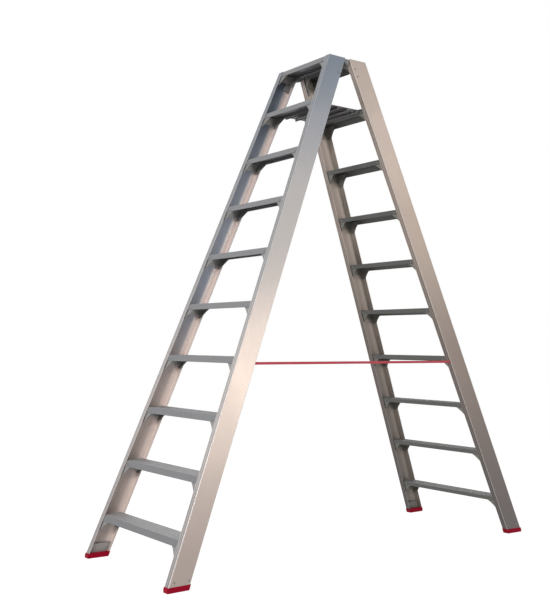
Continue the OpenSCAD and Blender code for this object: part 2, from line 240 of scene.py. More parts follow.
class LadderFinish(PropertyGroup):
    """Colours and roughness of the materials."""

    # Stile tones are painted light and shade: a highlight at the front waist, rear stiles dark low
    front_foot: colour("Front stile, foot", "Front stiles at the ground", (0.385, 0.325, 0.298))
    front_waist: colour("Front stile, waist", "Front stiles at waist height", (0.54, 0.468, 0.424))
    front_chest: colour("Front stile, chest", "Front stiles above the waist", (0.345, 0.335, 0.335))
    front_top: colour("Front stile, top", "Front stiles at the top", (0.155, 0.19, 0.238))
    rear_foot: colour("Rear stile, foot", "Rear stiles at the ground", (0.135, 0.118, 0.115))
    rear_waist: colour("Rear stile, waist", "Rear stiles at waist height", (0.20, 0.165, 0.147))
    rear_chest: colour("Rear stile, chest", "Rear stiles above the waist", (0.355, 0.297, 0.257))
    rear_top: colour("Rear stile, top", "Rear stiles at the top", (0.385, 0.328, 0.293))
    # Painted light: the front stiles' flanges are mixed towards this paler grey
    front_flange: colour("Front flange", "Flanges of the front stiles", (0.42, 0.43, 0.445))
    # Painted shade on the webs inside the channels and painted light on the flanges' inner faces
    front_floor_low: colour("Front floor, low", "Webs inside, lower front", (0.29, 0.24, 0.22))
    front_floor_high: colour("Front floor, high", "Webs inside, upper front", (0.074, 0.096, 0.134))
    front_wall_low: colour("Front wall, low", "Flanges inside, lower front", (0.76, 0.665, 0.62))
    front_wall_high: colour("Front wall, high", "Flanges inside, upper front", (0.84, 0.735, 0.69))
    rear_floor_low: colour("Rear floor, low", "Webs inside, lower rear", (0.18, 0.155, 0.14))
    rear_floor_high: colour("Rear floor, high", "Webs inside, upper rear", (0.25, 0.21, 0.185))
    rear_wall_low: colour("Rear wall, low", "Flanges inside, lower rear", (0.38, 0.34, 0.30))
    rear_wall_high: colour("Rear wall, high", "Flanges inside, upper rear", (0.43, 0.39, 0.35))
    # The rear treads are a darker copy of the front ones, as painted shade
    front_tread: colour("Front tread", "Treads of the front section", (0.205, 0.209, 0.219))
    rear_tread: colour("Rear tread", "Treads of the rear section", (0.105, 0.105, 0.1))
    # The rear braces are a darker copy of the front ones, as painted shade
    front_brace: colour("Front brace", "Braces of the front section", (0.27, 0.27, 0.265))
    rear_brace: colour("Rear brace", "Braces of the rear section", (0.19, 0.185, 0.165))
    plank: colour("Plank", "Plank between the sections", (0.11, 0.105, 0.11))
    rivet: colour("Rivet", "Rivets", (0.2, 0.198, 0.195))
    steel: colour("Steel", "Hinges, pins, rod, lugs and rest", (0.16, 0.165, 0.17))
    # The rear plates are a darker copy of the front ones, as painted shade
    front_plate: colour("Front plate", "Clamp plates above the front feet", (0.26, 0.25, 0.24))
    rear_plate: colour("Rear plate", "Clamp plates above the rear feet", (0.14, 0.13, 0.12))
    foot_red: colour("Foot red", "Moulded feet", (0.29, 0.002, 0.02))
    foot_scuff: colour("Foot scuff", "Scuffed edges of the feet", (0.55, 0.02, 0.05))
    band_red: colour("Band red", "Woven band", (0.50, 0.015, 0.045))
    band_faded: colour("Band, faded", "Faded stretches of the band", (0.62, 0.10, 0.13))
    # Painted shade: the bottoms of the flange grooves are painted nearly black
    groove: colour("Groove", "Painted shade in the grooves of the flanges", (0.05, 0.052, 0.056))
    # Painted light on the faces of the treads and the plank that look up
    painted_top_light: colour("Painted top light", "Tops of the treads and the plank", (0.58, 0.58, 0.59))
    worn_edge: colour("Worn edge", "Rounded edges of all metal", (0.85, 0.85, 0.85))
    stile_rough: share("Stile roughness", "Roughness of the stiles", 0.36)
    tread_rough: share("Tread roughness", "Roughness of the treads and the plank", 0.46)
    sheet_rough: share("Sheet roughness", "Roughness of the braces and plates", 0.5)
    steel_rough: share("Steel roughness", "Roughness of the steel fittings", 0.42)
    rivet_rough: share("Rivet roughness", "Roughness of the rivets", 0.34)


class LadderStage(PropertyGroup):
    """Camera, floor and light."""

    camera_place: FloatVectorProperty(
        name="Camera", description="Place of the camera", size=3, subtype="TRANSLATION",
        default=(3.645, -2.975, 1.007),
    )
    camera_yaw: FloatProperty(
        name="Yaw", description="Turn of the camera about the vertical", subtype="ANGLE",
        default=0.9353,
    )
    camera_pitch: FloatProperty(
        name="Pitch", description="Tilt of the camera above the horizon", subtype="ANGLE",
        default=0.047,
    )
    camera_roll: FloatProperty(
        name="Roll", description="Turn of the camera about its own axis", subtype="ANGLE",
        default=0.0075,
    )
    lens: FloatProperty(name="Lens", description="Focal length in millimetres", default=55.3)
    floor_size: size("Floor", "Side of the floor", 60.0)
    floor_drop: size("Floor drop", "Depth of the floor's face below the soles", 0.0004)
    floor_glow: share("Floor glow", "Brightness of the floor before light falls on it", 0.9)
    daylight: share("Daylight", "Strength of the soft light all round", 0.32)


# Meshes


def settle(piece):
    """Applies a piece's modifiers, so that its mesh is plain."""
    graph = bpy.context.evaluated_depsgraph_get()
    mesh = bpy.data.meshes.new_from_object(piece.evaluated_get(graph), depsgraph=graph)
    piece.modifiers.clear()
    piece.data = mesh
    return piece


def new_piece(name, mesh):
    """A new object in the scene, at the origin."""
    piece = bpy.data.objects.new(name, mesh)
    bpy.context.scene.collection.objects.link(piece)
    return piece


def weighted(piece):
    """Smooth faces whose normals follow the largest face, so flat faces stay flat."""
    piece.data.polygons.foreach_set("use_smooth", [True] * len(piece.data.polygons))
    normals = piece.modifiers.new("weighted normals", "WEIGHTED_NORMAL")
    normals.keep_sharp = True
    return settle(piece)


def mesh_data(name, mesh):
    """Turns a mesh that is done into mesh data."""
    data = bpy.data.meshes.new(name)
    mesh.to_mesh(data)
    mesh.free()
    return data


def sharp_edges(mesh):
    """The edges between faces that meet at a clear angle."""
    return [e for e in mesh.edges if e.is_manifold and e.calc_face_angle() > SHARP]


def edged_copy(name, rounds):
    """A copy of a solid with rounded edges.

    Each round is a chooser, which takes the sharp edges and returns those to round, with a
    radius and a number of segments. Where edges leave a round no room it comes out narrower,
    and on some stiles and hinges it has no width at all.
    """
    mesh = bmesh.new()
    mesh.from_mesh(NODES[name].data)
    bmesh.ops.remove_doubles(mesh, verts=mesh.verts, dist=WELD)
    bmesh.ops.dissolve_limit(mesh, angle_limit=FLAT, verts=mesh.verts, edges=mesh.edges)
    worn = mesh.faces.layers.float.new(WORN)
    for chosen, radius, segments in rounds:
        made = bmesh.ops.bevel(
            mesh, geom=chosen(sharp_edges(mesh)), offset=radius, offset_type="OFFSET",
            segments=segments, profile=0.5, affect="EDGES", clamp_overlap=True,
        )
        for face in made["faces"]:
            face[worn] = 1.0
    title = f"{name}_dressed"
    return weighted(new_piece(title, mesh_data(title, mesh)))


def every(edges):
    """All the edges."""
    return edges


def along_stile(edges):
    """A stile's edges that run its whole length, from the middle of the ladder outwards."""
    least = max(e.calc_length() for e in edges) * FULL_LENGTH
    long_edges = [e for e in edges if e.calc_length() > least]
    return sorted(long_edges, key=lambda e: abs((e.verts[0].co.x + e.verts[1].co.x) / 2))


def furthest_pair(edges):
    """The two long edges of a stile that lie furthest from the middle of the ladder.

    At first these are its outer corners. Once those are round, the pair is meant to be the
    corners inside its channel, but on some stiles one of the two is another edge.
    """
    return along_stile(edges)[-2:]


def flange_lips(edges):
    """The four free edges of a stile's flanges, which lie nearest to the middle."""
    return along_stile(edges)[:4]


def sole_rim(edges):
    """The edges of a foot that lie on the ground."""
    return [e for e in edges if max(v.co.z for v in e.verts) < NEAR]


def lathe(name, outline, steps):
    """A closed solid turned about Z.

    Its outline of (radius, height) starts and ends on the axis.
    """
    mesh = bmesh.new()
    rings = []
    for radius, height in outline:
        count = steps if radius else 1
        turns = (2 * math.pi * k / steps for k in range(count))
        rings.append(
            [mesh.verts.new((radius * math.cos(a), radius * math.sin(a), height)) for a in turns]
        )
    for low, high in zip(rings, rings[1:]):
        for k in range(steps):
            corners = [low[k % len(low)], low[(k + 1) % len(low)]]
            corners += [high[(k + 1) % len(high)], high[k % len(high)]]
            mesh.faces.new(list(dict.fromkeys(corners)))
    bmesh.ops.recalc_face_normals(mesh, faces=mesh.faces)
    return mesh_data(name, mesh)


# Materials


def fill(tree, made, inputs):
    """Sets a node's inputs to values, or links them to other nodes' outputs."""
    for key, value in dict(inputs).items():
        if isinstance(value, bpy.types.NodeSocket):
            tree.links.new(value, made.inputs[key])
        else:
            made.inputs[key].default_value = value


def node(tree, kind, inputs=(), **settings):
    """A new node with its settings made, and its inputs set or linked."""
    made = tree.nodes.new(kind)
    for key, value in settings.items():
        setattr(made, key, value)
    fill(tree, made, inputs)
    return made


def mixed(tree, factor, first, second, blend="MIX"):
    """Two colours mixed by a factor."""
    inputs = {0: factor, 6: first, 7: second}
    return node(tree, "ShaderNodeMix", inputs, data_type="RGBA", blend_type=blend).outputs[2]


def ranged(tree, value, low, high, start=0.0, end=1.0, curve="LINEAR"):
    """A value that runs from low to high while another runs from start to end."""
    inputs = {"Value": value, "From Min": start, "From Max": end, "To Min": low, "To Max": high}
    return node(tree, "ShaderNodeMapRange", inputs, interpolation_type=curve).outputs[0]


def calculated(tree, operation, *values):
    """The result of a sum on one or two values."""
    return node(tree, "ShaderNodeMath", enumerate(values), operation=operation).outputs[0]


def marked(tree, name):
    """An attribute of the piece's own mesh."""
    return node(tree, "ShaderNodeAttribute", attribute_name=name).outputs["Fac"]


def tint(shade, times=1.0):
    """A colour made lighter or darker, with its alpha."""
    return (*(min(1.0, c * times) for c in shade[:3]), 1.0)


def darkened(tree, shade, pattern, most, depth):
    """A colour that a pattern darkens towards a depth, at most by a share."""
    return mixed(tree, ranged(tree, pattern, 0.0, most), shade, tint(WHITE, depth), "MULTIPLY")


def start_material(name):
    """An empty material with its shader and output, and its Object coordinates."""
    material = bpy.data.materials.new(name)
    material.use_nodes = True
    tree = material.node_tree
    tree.nodes.clear()
    shader = node(tree, "ShaderNodeBsdfPrincipled")
    node(tree, "ShaderNodeOutputMaterial", {"Surface": shader.outputs[0]})
    return material, tree, shader, node(tree, "ShaderNodeTexCoord").outputs["Object"]


def grain(tree, place, turn, scale):
    """Noise drawn out along one direction, as a die leaves it."""
    turned = node(tree, "ShaderNodeMapping", {"Vector": place, "Rotation": turn, "Scale": scale})
    inputs = {"Vector": turned.outputs[0], "Scale": 1.0, "Detail": 3.0}
    return node(tree, "ShaderNodeTexNoise", inputs).outputs[0]


def cloud(tree, place, scale):
    """Noise that is the same in all directions."""
    inputs = {"Vector": place, "Scale": scale, "Detail": 4.0}
    return node(tree, "ShaderNodeTexNoise", inputs).outputs[0]


def facing(tree, axis):
    """How far a face looks along an axis of the frame, from -1 to 1."""
    normal = node(tree, "ShaderNodeTexCoord").outputs["Normal"]
    return node(tree, "ShaderNodeSeparateXYZ", {0: normal}).outputs[axis]


def by_height(tree, place, shades):
    """A colour that shifts up the ladder: shades are (share of its height, colour)."""
    height = node(tree, "ShaderNodeSeparateXYZ", {0: place}).outputs["Z"]
    ramp = node(tree, "ShaderNodeValToRGB", {0: ranged(tree, height, 0.0, 1.0, end=LADDER_HEIGHT)})
    ramp.color_ramp.interpolation = "EASE"
    while len(ramp.color_ramp.elements) < len(shades):
        ramp.color_ramp.elements.new(1.0)
    for stop, (at, shade) in zip(ramp.color_ramp.elements, shades):
        stop.position = at
        stop.color = tint(shade)
    return ramp.outputs[0]


def metal(name, finish, shades, turn, scale, rough, relief=DRAWN_RELIEF, tone=None):
    """Drawn or rolled metal: shades are (height share, colour), and turn and scale set its grain.

    A tone takes the tree, the coordinates and the colour so far, and returns each face's colour.
    """
    material, tree, shader, place = start_material(name)
    base = by_height(tree, place, shades)
    if tone:
        base = tone(tree, place, base)
    lines = grain(tree, place, turn, scale)
    patches = cloud(tree, place, PATCH_SCALE)
    drawn = darkened(tree, base, lines, most=0.22, depth=0.55)
    dull = darkened(tree, drawn, patches, most=0.16, depth=0.5)
    wear = ranged(tree, marked(tree, WORN), 0.0, METAL_WEAR)
    bright = mixed(tree, wear, dull, tint(finish.worn_edge))
    least, most = (rough + spread for spread in ROUGH_SPREAD)
    bump = node(tree, "ShaderNodeBump", {"Height": lines, "Strength": 0.5, "Distance": relief})
    fill(tree, shader, {
        "Base Color": bright,
        "Metallic": METALLIC,
        "Roughness": ranged(tree, mixed(tree, 0.5, lines, patches), least, most),
        "Normal": bump.outputs[0],
    })
    return material


def stile_metal(section, finish):
    """Mill-finished channel: its tone shifts up the stile and across its faces as painted light
    and shade, and the die lines run along it.
    """
    def shades(stops, prefix):
        return [(at, getattr(finish, f"{prefix}_{part}")) for part, at in stops.items()]

    def channel_tone(tree, place, shade):
        # Painted light: faces that look along the ladder's depth, the flanges, turn a paler grey
        across = calculated(tree, "ABSOLUTE", facing(tree, "X"))
        on_flange = ranged(tree, across, FLANGE_TONE[section], 0.0)
        toned = mixed(tree, on_flange, shade, tint(finish.front_flange))
        # Painted shade on the channel floor, and painted light on its walls and on the floor near the rear
        floor = by_height(tree, place, shades(CHANNEL_STOPS, f"{section}_floor"))
        wall = by_height(tree, place, shades(CHANNEL_STOPS, f"{section}_wall"))
        start, end = FLOOR_SHIFT[section]
        rearwards = ranged(tree, marked(tree, DEPTH), 0.0, CHANNEL_TONE, start, end, "SMOOTHSTEP")
        floor = mixed(tree, rearwards, floor, wall)
        # Floor and walls take their painted shade and light, and the groove bottoms painted shade
        for mark, most, inside in (
            (FLOOR, CHANNEL_TONE, floor),
            (WALL, CHANNEL_TONE, wall),
            (GROOVE, GROOVE_TONE, tint(finish.groove)),
        ):
            toned = mixed(tree, ranged(tree, marked(tree, mark), 0.0, most), toned, inside)
        return toned

    return metal(
        f"{section}_stile_aluminium", finish, shades(STILE_STOPS[section], section),
        (UPRIGHT[section], 0, 0), STILE_GRAIN, finish.stile_rough, tone=channel_tone,
    )


def tread_metal(name, finish, shade, light):
    """Drawn tread: the die lines run across the ladder, its tone shifts with height as painted light
    and shade, and its faces that look up are painted pale as painted light.
    """
    def top_painted_lighter(tree, _place, base):
        # Painted light on the faces that look up
        upwards = ranged(tree, facing(tree, "Z"), 0.0, PAINTED_TOP_TONE, *PAINTED_TOP_FACING)
        return mixed(tree, upwards, base, tint(finish.painted_top_light))

    # Painted light and shade: the treads are lighter or darker by their height
    shades = [(at, tint(shade, times)) for at, times in zip(TREAD_STOPS, light)]
    return metal(name, finish, shades, (0, 0, 0), TREAD_GRAIN, finish.tread_rough, tone=top_painted_lighter)


def pressed_metal(name, finish, shade, rough):
    """Rolled sheet or plated steel, with an even fine grain."""
    shades = [(0.0, shade), (1.0, shade)]
    return metal(name, finish, shades, (0, 0, 0), ROLLED_GRAIN, rough, ROLLED_RELIEF)


def moulded_plastic(name, finish):
    """Red moulding with a fine leathery grain, scuffed on its edges."""
    material, tree, shader, place = start_material(name)
    pores = cloud(tree, place, PORE_SCALE)
    scuffs = cloud(tree, place, SCUFF_SCALE)
    shade = finish.foot_red
    scuffed = ranged(tree, scuffs, 0.0, SCUFF_TONE)
    body = mixed(tree, scuffed, tint(shade), tint(shade, SCUFF_DEPTH))
    wear = ranged(tree, marked(tree, WORN), 0.0, FOOT_WEAR)
    edge = mixed(tree, wear, body, tint(finish.foot_scuff))
    bump = node(tree, "ShaderNodeBump", {"Height": pores, "Strength": 0.35, "Distance": 0.0002})
    fill(tree, shader, {
        "Base Color": edge,
        "Roughness": ranged(tree, scuffs, *FOOT_ROUGH),
        "Specular IOR Level": 0.06,
        "Normal": bump.outputs[0],
    })
    return material


def woven_webbing(name, finish):
    """Woven band: the yarns show as crossing ripples, with painted shade in their dips and a
    painted highlight on their crowns.
    """
    material, tree, shader, place = start_material(name)
    ripples = []
    for axis, count in YARNS:
        inputs = {"Vector": place, "Scale": count, "Distortion": 1.5, "Detail": 2.0}
        wave = node(tree, "ShaderNodeTexWave", inputs, wave_type="BANDS", bands_direction=axis)
        ripples.append(wave.outputs["Fac"])
    weave = calculated(tree, "MULTIPLY", *ripples)
    # Painted shade in the dips of the weave and a painted highlight on its crowns
    dip, crown = (tint(finish.band_red, times) for times in YARN_LIGHT)
    yarn = mixed(tree, weave, dip, crown)
    fade = ranged(tree, cloud(tree, place, FADE_SCALE), 0.0, FADE_TONE)
    bump = node(tree, "ShaderNodeBump", {"Height": weave, "Strength": 0.6, "Distance": 0.0002})
    fill(tree, shader, {
        "Base Color": mixed(tree, fade, yarn, tint(finish.band_faded)),
        "Roughness": 0.75,
        "Sheen Weight": 0.3,
        "Normal": bump.outputs[0],
    })
    return material


# Dressing


def dress(name, rounds, material):
    """Puts a finished copy in a solid's place, on the solid's own body."""
    piece = edged_copy(name, rounds)
    piece.data.materials.clear()
    piece.data.materials.append(material)
    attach(piece, BODY_OF[name])
    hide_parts(name)
    return piece


def mark_channel(stile, section):
    """Marks the faces inside a stile's channel and grooves, and how deep its points lie."""
    upright = Matrix.Rotation(UPRIGHT[section], 3, "X")
    depths = [(upright @ vert.co).y for vert in stile.data.vertices]
    front, rear = min(depths), max(depths)
    marks = {key: [0.0] * len(stile.data.polygons) for key in (FLOOR, WALL, GROOVE)}
    for face in stile.data.polygons:
        spread = [depths[v] for v in face.vertices]
        from_middle = sum(spread) / len(spread) - (front + rear) / 2
        sunk = (rear - front) / 2 - abs(from_middle)
        wide = max(spread) - min(spread) > LIP
        on_flange = abs(face.normal.x) < math.sin(SHARP)
        on_floor = wide and not on_flange and face.normal.x * face.center.x < 0
        looks_in = (upright @ face.normal).y * from_middle < 0
        grooved = GROOVE_DEPTHS[0] < sunk < GROOVE_DEPTHS[1]
        marks[FLOOR][face.index] = float(on_floor)
        marks[WALL][face.index] = float(on_flange and looks_in)
        marks[GROOVE][face.index] = float(on_flange and not looks_in and grooved)
    for key, values in marks.items():
        stile.data.attributes.new(key, "FLOAT", "FACE").data.foreach_set("value", values)
    outer, inner = (front, rear) if section == "front" else (rear, front)
    shares = [(depth - outer) / (inner - outer) for depth in depths]
    stile.data.attributes.new(DEPTH, "FLOAT", "POINT").data.foreach_set("value", shares)


class LADDER_OT_stiles(Operator):
    """Finish the four stiles"""

    bl_idname = "ladder.stiles"
    bl_label = "Stiles"

    def execute(self, context):
        sizes = context.scene.ladder_sizes
        rounds = [
            (furthest_pair, sizes.stile_corner, 4),
            (furthest_pair, sizes.stile_fillet, 3),
            (flange_lips, sizes.stile_lip, 2),
            (every, sizes.drawn_edge, 1),
        ]
        for section in SECTIONS:
            material = stile_metal(section, context.scene.ladder_finish)
            for side in SIDES:
                stile = dress(f"{section}_stile_{side}", rounds, material)
                mark_channel(stile, section)
        return {"FINISHED"}


class LADDER_OT_treads(Operator):
    """Finish the treads of both sections"""

    bl_idname = "ladder.treads"
    bl_label = "Treads"

    def execute(self, context):
        rounds = [(every, context.scene.ladder_sizes.drawn_edge, 2)]
        finish = context.scene.ladder_finish
        for section in SECTIONS:
            prefix = f"{section}_tread"
            shade = getattr(finish, prefix)
            material = tread_metal(f"{prefix}_aluminium", finish, shade, TREAD_LIGHT[section])
            for name in sorted(n for n in NODES if n.startswith(f"{prefix}_") and n[-1].isdigit()):
                dress(name, rounds, material)
        return {"FINISHED"}


class LADDER_OT_braces(Operator):
    """Finish the knee braces under the treads"""

    bl_idname = "ladder.braces"
    bl_label = "Braces"

    def execute(self, context):
        rounds = [(every, context.scene.ladder_sizes.brace_edge, 2)]
        finish = context.scene.ladder_finish
        for section in SECTIONS:
            prefix = f"{section}_brace"
            shade = getattr(finish, prefix)
            material = pressed_metal(f"{prefix}_aluminium", finish, shade, finish.sheet_rough)
            for side in SIDES:
                dress(f"{section}_braces_{side}", rounds, material)
        return {"FINISHED"}


class LADDER_OT_feet(Operator):
    """Finish the red feet and the plates that clamp them"""

    bl_idname = "ladder.feet"
    bl_label = "Feet"

    def execute(self, context):
        sizes = context.scene.ladder_sizes
        finish = context.scene.ladder_finish
        edges = (every, sizes.foot_edge, 2)
        rounds = [(sole_rim, sizes.sole_edge, 3), edges]
        plastic = moulded_plastic("foot_plastic", finish)
        for section in SECTIONS:
            prefix = f"{section}_plate"
            shade = getattr(finish, prefix)
            plate = pressed_metal(f"{prefix}_aluminium", finish, shade, finish.sheet_rough)
            for side in SIDES:
                dress(f"{section}_foot_{side}", rounds, plastic)
            dress(f"{section}_foot_plates", [edges], plate)
        return {"FINISHED"}


class LADDER_OT_hinges(Operator):
    """Finish the hinge brackets and their pins"""

    bl_idname = "ladder.hinges"
    bl_label = "Hinges"

    def execute(self, context):
        finish = context.scene.ladder_finish
        steel = pressed_metal("hinge_steel", finish, finish.steel, finish.steel_rough)
        rounds = [(every, context.scene.ladder_sizes.hinge_edge, 2)]
        names = [f"{section}_hinge_{side}" for section in SECTIONS for side in SIDES]
        for name in names + [f"hinge_pin_{side}" for side in SIDES]:
            dress(name, rounds, steel)
        return {"FINISHED"}


class LADDER_OT_platform(Operator):
    """Finish the plank between the sections and what carries it"""

    bl_idname = "ladder.platform"
    bl_label = "Platform"

    def execute(self, context):
        sizes = context.scene.ladder_sizes
        finish = context.scene.ladder_finish
        plank = tread_metal("plank_aluminium", finish, finish.plank, TREAD_LIGHT["rear"])
        steel = pressed_metal("fitting_steel", finish, finish.steel, finish.steel_rough)
        dress("platform_plank", [(every, sizes.drawn_edge, 2)], plank)
        for name in ("platform_rod", "platform_lugs", "platform_rest"):
            dress(name, [(every, sizes.hinge_edge, 2)], steel)
        return {"FINISHED"}


# Rivets


def loose_solids(name):
    """The points of each separate solid in a node."""
    mesh = bmesh.new()
    mesh.from_mesh(NODES[name].data)
    bmesh.ops.remove_doubles(mesh, verts=mesh.verts, dist=WELD)
    waiting = set(mesh.verts)
    found = []
    while waiting:
        reached = [waiting.pop()]
        for vert in reached:
            near = {e.other_vert(vert) for e in vert.link_edges} & waiting
            waiting -= near
            reached.extend(near)
        found.append(np.array([v.co for v in reached]))
    mesh.free()
    return found


def rivet_seats(points, sizes):
    """Where a rivet's head and tail sit, and the directions that they face."""
    centre = points.mean(axis=0)
    axis = np.linalg.svd(points - centre)[2][0]
    along = (points - centre) @ axis
    spread = np.linalg.norm(points - centre - np.outer(along, axis), axis=1)
    top, bottom = along.max(), along.min()
    near_top = spread[along > top - NEAR].max()
    near_bottom = spread[along < bottom + NEAR].max()
    if near_top > near_bottom:
        axis, top, bottom = -axis, -bottom, -top
    head = centre + axis * (top - sizes.rivet_crown)
    tail = centre + axis * (bottom + sizes.rivet_upset)
    return (head, axis), (tail, -axis)


def head_outline(sizes, steps=5):
    """A domed head with a straight rim, a dimple and a stub of its shank."""
    crown = sizes.rivet_crown - sizes.rivet_rim
    stub = -sizes.rivet_crown
    dome = []
    for k in range(steps + 1):
        turn = math.pi / 2 * k / steps
        reach = sizes.rivet_dimple + (sizes.rivet_head - sizes.rivet_dimple) * math.cos(turn)
        dome.append((reach, sizes.rivet_rim + crown * math.sin(turn)))
    floor = sizes.rivet_rim + crown / 2
    return [
        (0.0, stub), (sizes.rivet_shank, stub), (sizes.rivet_shank, 0.0), (sizes.rivet_head, 0.0),
        *dome, (sizes.rivet_dimple, floor), (0.0, floor),
    ]


def tail_outline(sizes, steps=4):
    """An upset tail: a low button with a round shoulder, and a stub of the shank."""
    stub = -sizes.rivet_crown
    half = sizes.rivet_upset / 2
    shoulder = [
        (sizes.rivet_tail - half + half * math.cos(math.pi / 2 * k / steps),
         half + half * math.sin(math.pi / 2 * k / steps))
        for k in range(steps + 1)
    ]
    return [
        (0.0, stub), (sizes.rivet_shank, stub), (sizes.rivet_shank, 0.0), (sizes.rivet_tail, 0.0),
        *shoulder, (0.0, sizes.rivet_upset),
    ]


def new_tree(name, inputs):
    """An empty Geometry Nodes tree with named inputs."""
    tree = bpy.data.node_groups.new(name, "GeometryNodeTree")
    tree.interface.new_socket("Geometry", in_out="OUTPUT", socket_type="NodeSocketGeometry")
    for title, kind in inputs:
        tree.interface.new_socket(title, in_out="INPUT", socket_type=kind)
    return tree, node(tree, "NodeGroupInput").outputs


def end_tree(tree, joined, given):
    """Makes a tree's instances real, and gives them its material."""
    real = node(tree, "GeometryNodeRealizeInstances", {0: joined.outputs[0]})
    inputs = {"Geometry": real.outputs[0], "Material": given["Material"]}
    painted = node(tree, "GeometryNodeSetMaterial", inputs)
    node(tree, "NodeGroupOutput", {0: painted.outputs[0]})
    return tree


def rivet_tree():
    """Sets a head or a tail on each seat, facing along the seat's axis."""
    tree, given = new_tree(
        "set_rivets",
        [("Geometry", "NodeSocketGeometry"), ("Head", "NodeSocketObject"),
         ("Tail", "NodeSocketObject"), ("Material", "NodeSocketMaterial")],
    )
    axis, tails = (
        node(tree, "GeometryNodeInputNamedAttribute", {"Name": name}, data_type=kind).outputs[0]
        for name, kind in (("axis", "FLOAT_VECTOR"), ("tail", "BOOLEAN"))
    )
    heads = node(tree, "FunctionNodeBooleanMath", {0: tails}, operation="NOT").outputs[0]
    turned = node(tree, "FunctionNodeAlignRotationToVector", {"Vector": axis}, axis="Z").outputs[0]
    joined = node(tree, "GeometryNodeJoinGeometry")
    for chosen, shape in ((heads, "Head"), (tails, "Tail")):
        source = node(tree, "GeometryNodeObjectInfo", {"Object": given[shape], "As Instance": True})
        placed = node(
            tree, "GeometryNodeInstanceOnPoints",
            {"Points": given["Geometry"], "Selection": chosen,
             "Instance": source.outputs["Geometry"], "Rotation": turned},
        )
        tree.links.new(placed.outputs[0], joined.inputs[0])
    return end_tree(tree, joined, given)


def apply_tree(piece, tree, values):
    """Runs a tree on a piece with its inputs set, and leaves a plain mesh."""
    nodes = piece.modifiers.new(tree.name, "NODES")
    nodes.node_group = tree
    for item in tree.interface.items_tree:
        if item.in_out == "INPUT" and item.name in values:
            nodes[item.identifier] = values[item.name]
    return settle(piece)


def seat_points(name, seats):
    """A mesh of points, with the direction that each one faces and whether it is a tail."""
    data = bpy.data.meshes.new(name)
    data.from_pydata([tuple(place) for place, _, _ in seats], [], [])
    axis = data.attributes.new("axis", "FLOAT_VECTOR", "POINT")
    axis.data.foreach_set("vector", [float(c) for _, towards, _ in seats for c in towards])
    tail = data.attributes.new("tail", "BOOLEAN", "POINT")
    tail.data.foreach_set("value", [is_tail for _, _, is_tail in seats])
    return new_piece(name, data)


class LADDER_OT_rivets(Operator):
    """Set the domed rivets of both sections"""

    bl_idname = "ladder.rivets"
    bl_label = "Rivets"

    def execute(self, context):
        sizes = context.scene.ladder_sizes
        finish = context.scene.ladder_finish
        head = lathe("rivet_head", head_outline(sizes), RIVET_STEPS)
        tail = lathe("rivet_tail", tail_outline(sizes), RIVET_STEPS)
        values = {
            "Head": new_piece("rivet_head", head),
            "Tail": new_piece("rivet_tail", tail),
            "Material": pressed_metal("rivet_aluminium", finish, finish.rivet, finish.rivet_rough),
        }
        tree = rivet_tree()
        for section in SECTIONS:
            names = sorted(n for n in NODES if n.startswith(section) and "_rivet" in n)
            seats = []
            for points in (p for n in names for p in loose_solids(n)):
                head_seat, tail_seat = rivet_seats(points, sizes)
                seats += [(*head_seat, False), (*tail_seat, True)]
            piece = weighted(apply_tree(seat_points(f"{section}_rivets_set", seats), tree, values))
            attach(piece, f"{section}_section")
            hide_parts(*names)
        for template in (values["Head"], values["Tail"]):
            bpy.data.objects.remove(template)
        return {"FINISHED"}


# Band


def webbing_outline(sizes, filled=0.18, steps=4):
    """Cross-section of the band, a flat strip with round selvedges, as (across, thickness).

    It is filled out by a share of its thickness, so that the weft ribs lie partly in it.
    """
    half_w = sizes.band_width / 2
    half_t = sizes.band_thick / 2 - sizes.weft_relief
    outline = []
    for side in (1, -1):
        for k in range(2 * steps + 1):
            turn = math.pi * k / (2 * steps) - math.pi / 2
            across = half_w - half_t + half_t * math.cos(turn)
            outline.append((side * across, side * half_t * (1 + filled) * math.sin(turn)))
    return outline


def swept(outline, stations):
    """A closed bar through stations of (origin, across, thickness direction)."""
    mesh = bmesh.new()
    rings = []
    for origin, across, thick in stations:
        rings.append([mesh.verts.new(origin + across * a + thick * t) for a, t in outline])
    count = len(outline)
    for low, high in zip(rings, rings[1:]):
        for k in range(count):
            mesh.faces.new((low[k], low[(k + 1) % count], high[(k + 1) % count], high[k]))
    mesh.faces.new(rings[0])
    mesh.faces.new(rings[-1])
    bmesh.ops.recalc_face_normals(mesh, faces=mesh.faces)
    return mesh


def weft_tree():
    """Sets a weft rib at even steps along each edge of the guide mesh, and keeps the core."""
    tree, given = new_tree(
        "weave_band",
        [("Geometry", "NodeSocketGeometry"), ("Core", "NodeSocketObject"),
         ("Rib", "NodeSocketObject"), ("Pitch", "NodeSocketFloat"),
         ("Material", "NodeSocketMaterial")],
    )
    path = node(tree, "GeometryNodeMeshToCurve", {0: given["Geometry"]})
    inputs = {"Curve": path.outputs[0], "Length": given["Pitch"]}
    steps = node(tree, "GeometryNodeResampleCurve", inputs, mode="LENGTH")
    rib = node(tree, "GeometryNodeObjectInfo", {"Object": given["Rib"], "As Instance": True})
    ribs = node(
        tree, "GeometryNodeInstanceOnPoints",
        {"Points": steps.outputs[0], "Instance": rib.outputs["Geometry"]},
    )
    core = node(tree, "GeometryNodeObjectInfo", {"Object": given["Core"]})
    joined = node(tree, "GeometryNodeJoinGeometry")
    for part in (core.outputs["Geometry"], ribs.outputs[0]):
        tree.links.new(part, joined.inputs[0])
    return end_tree(tree, joined, given)


def weft_rib(sizes, sides=8, fullness=0.84):
    """One weft rib: a flattened bar across the band, which fills most of a step along it."""
    half_y = sizes.weft_pitch * fullness / 2
    half_t = sizes.band_thick / 2
    turns = [2 * math.pi * k / sides for k in range(sides)]
    outline = [(half_y * math.cos(a), half_t * math.sin(a)) for a in turns]
    reach = Vector((0, 0, sizes.band_width / 2 - sizes.band_thick / 2))
    ends = [(s * reach, Vector((0, 1, 0)), Vector((1, 0, 0))) for s in (-1, 1)]
    return mesh_data("weft_rib", swept(outline, ends))


